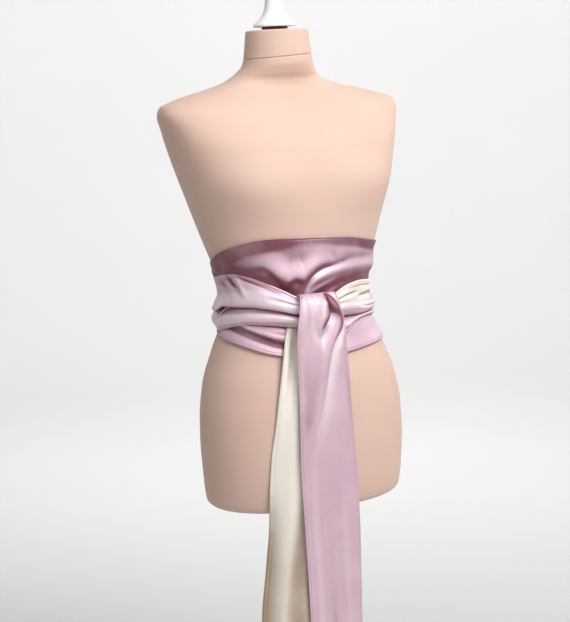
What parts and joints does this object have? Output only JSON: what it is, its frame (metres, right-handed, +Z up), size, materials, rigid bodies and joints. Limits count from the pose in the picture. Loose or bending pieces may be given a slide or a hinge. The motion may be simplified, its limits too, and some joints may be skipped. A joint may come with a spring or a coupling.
{
  "type": "satin sash on a dress form",
  "caption": "Wide satin waist sash, pink with a cream reverse, wrapped and tied in a half knot with two long tails, worn on a limbless dress form with a round foot.",
  "frame": {"origin": "centre of the stand's foot on the floor, which is the middle of the bottom of the bounding box", "axes": "+Z up along the pole and the form's axis, front of the form and the knot to -Y, the wearer's left to +X"},
  "size_m": [0.38, 0.344, 1.5201],
  "materials": {
    "pink_satin": "satin sheen",
    "cream_satin": "satin sheen",
    "form_cover": "matt stretch cover",
    "white_paint": "semi-gloss",
    "dark_plate": "matt"
  },
  "bodies": {
    "root": {"form_torso": "form_cover", "form_neck": "form_cover", "form_neck_plate": "dark_plate", "form_neck_cap": "white_paint", "form_base_board": "white_paint", "stand_collar": "white_paint", "stand_pole": "white_paint", "stand_foot": "white_paint", "sash_panel": "pink_satin", "sash_tie_right_side": "pink_satin", "sash_tie_left_side": "pink_satin", "sash_tie_left_reverse": "cream_satin", "sash_knot": "pink_satin", "sash_tail_front": "pink_satin", "sash_tail_back": "cream_satin"}
  },
  "joints": []
}
